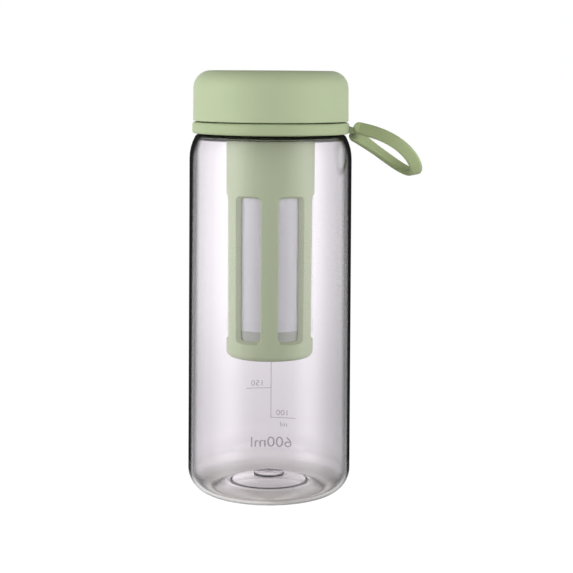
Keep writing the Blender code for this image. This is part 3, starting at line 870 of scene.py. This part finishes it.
class BOTTLE_OT_mesh(bpy.types.Operator):
    """Model the fine mesh sleeve and dress the mesh floor"""

    bl_idname = "bottle.mesh"
    bl_label = "Mesh"

    def execute(self, context):
        size = sizes("infuser")
        low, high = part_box("infuser_mesh")
        gap, thickness = 0.3 * MM, 0.4 * MM
        outer = size.radius - size.taper - size.wall - gap
        inner = outer - thickness
        corners = [(outer, high.z, 0), (outer, low.z, 0), (inner, low.z, 0), (inner, high.z, 0)]
        sleeve = turned("mesh_sleeve", corners, closed=True, steps=96)
        dress(sleeve, woven_wire("woven_wire", flat=False), "infuser", "steel_mesh", "infuser_mesh")
        recolour("infuser_floor", woven_wire("woven_wire_flat", flat=True))
        return {"FINISHED"}


def hinge_frame():
    """The loop's hinge: its origin is on the trunnions' axis, which runs along its Y."""
    loop = sizes("loop")
    turn = Euler((loop.roll, loop.pitch, 0), "XYZ").to_matrix().to_4x4()
    return Matrix.Translation((HINGE_X, 0, HINGE_Z)) @ turn


class BOTTLE_OT_ring(bpy.types.Operator):
    """Model the carry ring with the lug and trunnions for the loop"""

    bl_idname = "bottle.ring"
    bl_label = "Carry ring"

    def execute(self, context):
        lid = sizes("lid")
        radius, low = lid.ring_radius, lid.ring_low
        top = low + lid.ring_height
        fillet, edge, low_edge = 1.2 * MM, 0.3 * MM, 0.2 * MM
        play, inner, skirt, web = 0.4 * MM, 1.9 * MM, 2.4 * MM, 1.7 * MM
        lug_sink, lug_lift, lug_rise, lug_width = 1.2 * MM, 0.4 * MM, 4.0 * MM, 5.6 * MM
        barrel_overlap = 0.5 * MM
        bore = sizes("bottle").neck_radius + play
        corners = [
            (radius, top, fillet),
            (radius, low, fillet),
            (radius - skirt, low, edge),
            (radius - skirt, top - web, edge),
            (bore + inner, top - web, edge),
            (bore + inner, low, low_edge),
            (bore, low, low_edge),
            (bore, top, edge),
        ]
        ring = turned("carry_ring", corners, closed=True)
        outline = (
            (radius - lug_sink, low + lug_lift),
            (HINGE_X, low + lug_lift),
            (HINGE_X, HINGE_Z + BARREL_RADIUS - barrel_overlap),
            (radius - lug_sink, low + lug_rise),
        )
        wedge = drawn("lug_web", outline, closed=True)
        bpy.ops.mesh.select_all(action="SELECT")
        bpy.ops.mesh.remove_doubles(threshold=WELD)
        bpy.ops.mesh.edge_face_add()
        bpy.ops.transform.translate(value=(0, -lug_width / 2, 0))
        bpy.ops.mesh.extrude_region_move(TRANSFORM_OT_translate={"value": (0, lug_width, 0)})
        combine(ring, tidy(wedge), "UNION")
        across = hinge_frame() @ Matrix.Rotation(math.pi / 2, 4, "X")
        combine(ring, cylinder("lug_barrel", BARREL_RADIUS, BARREL_LENGTH, across), "UNION")
        combine(ring, cylinder("trunnions", TRUNNION_RADIUS, TRUNNION_LENGTH, across), "UNION")
        # Painted shade: a darker copy of the lid's plastic
        material = moulded_plastic("shaded_ring_plastic", tuple(sizes("colours").ring))
        dress(tidy(ring, 35), material, "collar", "sage_plastic", "collar_ring")
        return {"FINISHED"}


class BOTTLE_OT_loop(bpy.types.Operator):
    """Model the soft carry loop, swept along its path"""

    bl_idname = "bottle.loop"
    bl_label = "Carry loop"

    def stations(self):
        """(place, tangent, half of the band's width) from one eye round to the other."""
        loop = sizes("loop")
        root = BARREL_LENGTH / 2 + HINGE_GAP + loop.thickness / 2
        widest_share, roundness = 0.58, 1.1
        widest = loop.reach * widest_share
        eye = loop.band / 2
        eyes, band, tip = 9, 26, 20
        side = []
        for step in range(eyes):
            turn = math.pi / 2 * (step + 0.25) / eyes
            side.append((Vector((-eye * math.cos(turn), -root)), Vector((1, 0)), eye * math.sin(turn)))
        for step in range(band):
            share = step / band
            swell = (loop.half_width - root) * math.sin(math.pi / 2 * share) ** roundness
            side.append((Vector((widest * share, -root - swell)), None, eye))
        for step in range(tip + 1):
            turn = math.pi / 2 * step / tip
            ahead = widest + (loop.reach - widest) * math.sin(turn)
            side.append((Vector((ahead, -loop.half_width * math.cos(turn))), None, eye))
        other = []
        for place, tangent, wide in side:
            other.append((Vector((place.x, -place.y)), tangent and -tangent, wide))
        return side + other[-2::-1]

    def frames(self):
        """Frames along the sagged loop: X across the band's thickness, Y along its width."""
        loop = sizes("loop")
        flare_end = 0.40
        radius = loop.reach / loop.sag
        stations = self.stations()
        frames, widths = [], []
        for index, (place, tangent, wide) in enumerate(stations):
            if tangent is None:
                tangent = (stations[index + 1][0] - stations[index - 1][0]).normalized()
            share = min(max(place.x / loop.reach / flare_end, 0), 1)
            flare = loop.flare * share * share * (3 - 2 * share)
            outward = Vector((tangent.y, -tangent.x, 0))
            across = outward * math.cos(flare) - Vector((0, 0, 1)) * math.sin(flare)
            up = outward * math.sin(flare) + Vector((0, 0, 1)) * math.cos(flare)
            bend = Matrix.Rotation(place.x / radius, 3, "Y")
            centre = Vector((radius * math.sin(place.x / radius), place.y, 0))
            centre.z = radius * math.cos(place.x / radius) - radius
            axes = Matrix((bend @ across, bend @ up, bend @ across.cross(up))).transposed()
            frames.append(hinge_frame() @ Matrix.Translation(centre) @ axes.to_4x4())
            widths.append(wide)
        return frames, widths

    def execute(self, context):
        loop = sizes("loop")
        band_round = 1.1 * MM
        frames, widths = self.frames()
        deselect()
        bpy.ops.mesh.primitive_plane_add(size=1)
        bpy.context.object.scale = (loop.thickness, loop.band, 1)
        band = settle("carry_loop")
        edit(band)
        bpy.ops.mesh.bevel(offset=band_round, segments=6, affect="VERTICES")
        bpy.ops.mesh.select_all(action="SELECT")
        bpy.ops.mesh.delete(type="ONLY_FACE")
        bpy.ops.mesh.select_all(action="SELECT")
        bpy.ops.transform.resize(value=(1, 2 * widths[0] / loop.band, 1), center_override=(0, 0, 0))
        bpy.ops.object.mode_set(mode="OBJECT")
        band.matrix_world = frames[0]
        settle("carry_loop")
        swept(band, frames, widths)
        across = hinge_frame() @ Matrix.Rotation(math.pi / 2, 4, "X")
        bore, reach = TRUNNION_RADIUS + HINGE_GAP, TRUNNION_LENGTH + 2 * HINGE_GAP
        combine(band, cylinder("sockets", bore, reach, across), "DIFFERENCE")
        material = soft_silicone("loop_silicone", tuple(sizes("colours").loop))
        dress(tidy(band, 40), material, "strap", "sage_silicone", "strap_loop")
        return {"FINISHED"}


class BOTTLE_OT_stage(bpy.types.Operator):
    """Set the floor, the soft lamps, the white surroundings and the camera"""

    bl_idname = "bottle.stage"
    bl_label = "Stage"

    def surroundings(self):
        """White surroundings with a bright strip on each side of the camera, and a soft fill.

        The fill lights the object from the front and, less, from behind. The rest shows only through
        the clear wall and in gloss, and the camera itself sees plain white.
        """
        rear_fill, lowest_fill, highest_fill, darkest = 0.7, 0.05, 2.45, 0.1
        roof_from, roof_gain = 0.45, 3
        world = bpy.data.worlds.new("surroundings")
        bpy.context.scene.world = world
        sky = Finish("surroundings", (1, 1, 1), world)
        x, y, z = sky.place("Generated")
        around = x.call("ARCTAN2", y) * (0.5 / math.pi) + 0.5
        stops = [((degrees + 180) / 360, level / BRIGHTEST) for degrees, level in AROUND]
        level = sky.ramp(around, stops)
        below = sky.ramp(-1 * z, BELOW)
        above = ((z - roof_from) * roof_gain).call("MAXIMUM", 0.0).call("MINIMUM", 1.0)
        ahead = (-1 * y).call("MAXIMUM", 0.0)
        behind = y.call("MAXIMUM", 0.0)
        soft = (ahead * ahead + behind * behind * behind * rear_fill) * (1 - z.call("MAXIMUM", 0.0))
        path = sky.add("ShaderNodeLightPath")
        glossy, through = sky.out(path, "Is Glossy Ray"), sky.out(path, "Is Transmission Ray")
        fill = sky.mix(soft, sky.background(lowest_fill), sky.background(highest_fill))
        lit = level * below * (1 - above)
        seen = sky.mix(lit, sky.background(darkest), sky.background(BRIGHTEST))
        white = sky.background(1.0)
        light = sky.mix(glossy.call("MAXIMUM", through), fill, seen)
        sky.finish(sky.mix(sky.out(path, "Is Camera Ray"), light, white))

    def softbox(self, name, side, power):
        """A tall soft lamp. side is its angle round the bottle from the camera, in degrees."""
        distance, width, height, level, aim = 0.6, 0.24, 0.9, 0.11, 0.1
        turn = math.radians(side)
        spot = Vector((math.sin(turn) * distance, -math.cos(turn) * distance, level))
        lamp = bpy.data.lights.new(name, "AREA")
        lamp.shape = "RECTANGLE"
        lamp.size, lamp.size_y, lamp.energy = width, height, power
        obj = bpy.data.objects.new(name, lamp)
        obj.location = spot
        obj.rotation_euler = (Vector((0, 0, aim)) - spot).to_track_quat("-Z", "Y").to_euler()
        obj.visible_glossy = obj.visible_transmission = obj.visible_camera = False
        bpy.context.scene.collection.objects.link(obj)

    def floor(self):
        """A pale floor that takes shadows. Nothing of it shows through the clear wall or in gloss."""
        sink, radius, glow_share, glow_strength = 0.1 * MM, 2.5, 0.85, 1.15
        deselect()
        bpy.ops.mesh.primitive_circle_add(
            vertices=96, radius=radius, fill_type="NGON", location=(0, 0, -sink)
        )
        obj = settle("floor")
        tone = tuple(sizes("colours").floor)
        finish = Finish("floor_paper", tone)
        paper = finish.principled(Base_Color=(*tone, 1), Roughness=0.9, Specular_IOR_Level=0.0)
        glow = finish.out(
            finish.add("ShaderNodeEmission", None, {"Color": grey(1), "Strength": glow_strength})
        )
        path = finish.add("ShaderNodeLightPath")
        glossy, through = finish.out(path, "Is Glossy Ray"), finish.out(path, "Is Transmission Ray")
        shown = finish.mix(finish.out(path, "Is Camera Ray") * glow_share, paper, glow)
        shown = finish.mix(glossy.call("MAXIMUM", through), shown, finish.transparent(1))
        obj.data.materials.append(finish.finish(shown))

    def camera(self):
        """The photograph's camera: in front, a little to the right and looking down."""
        data = bpy.data.cameras.new("photo_camera")
        data.lens, data.sensor_width, data.clip_start = 98.0, 36.0, 0.01
        obj = bpy.data.objects.new("photo_camera", data)
        bpy.context.scene.collection.objects.link(obj)
        place, down, roll = (0.0077, -0.7176, 0.1936), math.radians(7.685), math.radians(0.40)
        aim = Matrix.Rotation(math.pi / 2 - down, 4, "X") @ Matrix.Rotation(roll, 4, "Z")
        obj.matrix_world = Matrix.Translation(place) @ aim
        bpy.context.scene.camera = obj

    def execute(self, context):
        self.floor()
        self.surroundings()
        self.softbox("left_softbox", side=-78, power=3.9)
        self.softbox("right_softbox", side=76, power=3.0)
        self.camera()
        context.scene.view_settings.view_transform = "Standard"
        return {"FINISHED"}


class BOTTLE_PT_panel(bpy.types.Panel):
    """Lists the pieces of the tea infuser bottle"""

    bl_label = "Tea infuser bottle"
    bl_idname = "BOTTLE_PT_panel"
    bl_space_type = "VIEW_3D"
    bl_region_type = "UI"
    bl_category = "Bottle"

    def draw(self, context):
        for piece in PIECES:
            self.layout.operator(piece.bl_idname)
        for name, group in GROUPS.items():
            box = self.layout.box()
            box.label(text=name.capitalize())
            for value in group.__annotations__:
                box.prop(sizes(name), value)


PIECES = (
    BOTTLE_OT_body,
    BOTTLE_OT_scale,
    BOTTLE_OT_lid,
    BOTTLE_OT_seal,
    BOTTLE_OT_infuser,
    BOTTLE_OT_mesh,
    BOTTLE_OT_ring,
    BOTTLE_OT_loop,
    BOTTLE_OT_stage,
)
GROUPS = {
    "bottle": BottleSizes,
    "lid": LidSizes,
    "infuser": InfuserSizes,
    "loop": LoopSizes,
    "colours": BottleColours,
}


def register():
    for group in GROUPS.values():
        bpy.utils.register_class(group)
    for name, group in GROUPS.items():
        setattr(bpy.types.Scene, "bottle_" + name, bpy.props.PointerProperty(type=group))
    for piece in (*PIECES, BOTTLE_PT_panel):
        bpy.utils.register_class(piece)


def unregister():
    for piece in (BOTTLE_PT_panel, *reversed(PIECES)):
        bpy.utils.unregister_class(piece)
    for name, group in reversed(GROUPS.items()):
        delattr(bpy.types.Scene, "bottle_" + name)
        bpy.utils.unregister_class(group)


def main():
    register()
    bpy.ops.bottle.body()
    bpy.ops.bottle.scale()
    bpy.ops.bottle.lid()
    bpy.ops.bottle.seal()
    bpy.ops.bottle.infuser()
    bpy.ops.bottle.mesh()
    bpy.ops.bottle.ring()
    bpy.ops.bottle.loop()
    bpy.ops.bottle.stage()


if __name__ == "__main__":
    main()
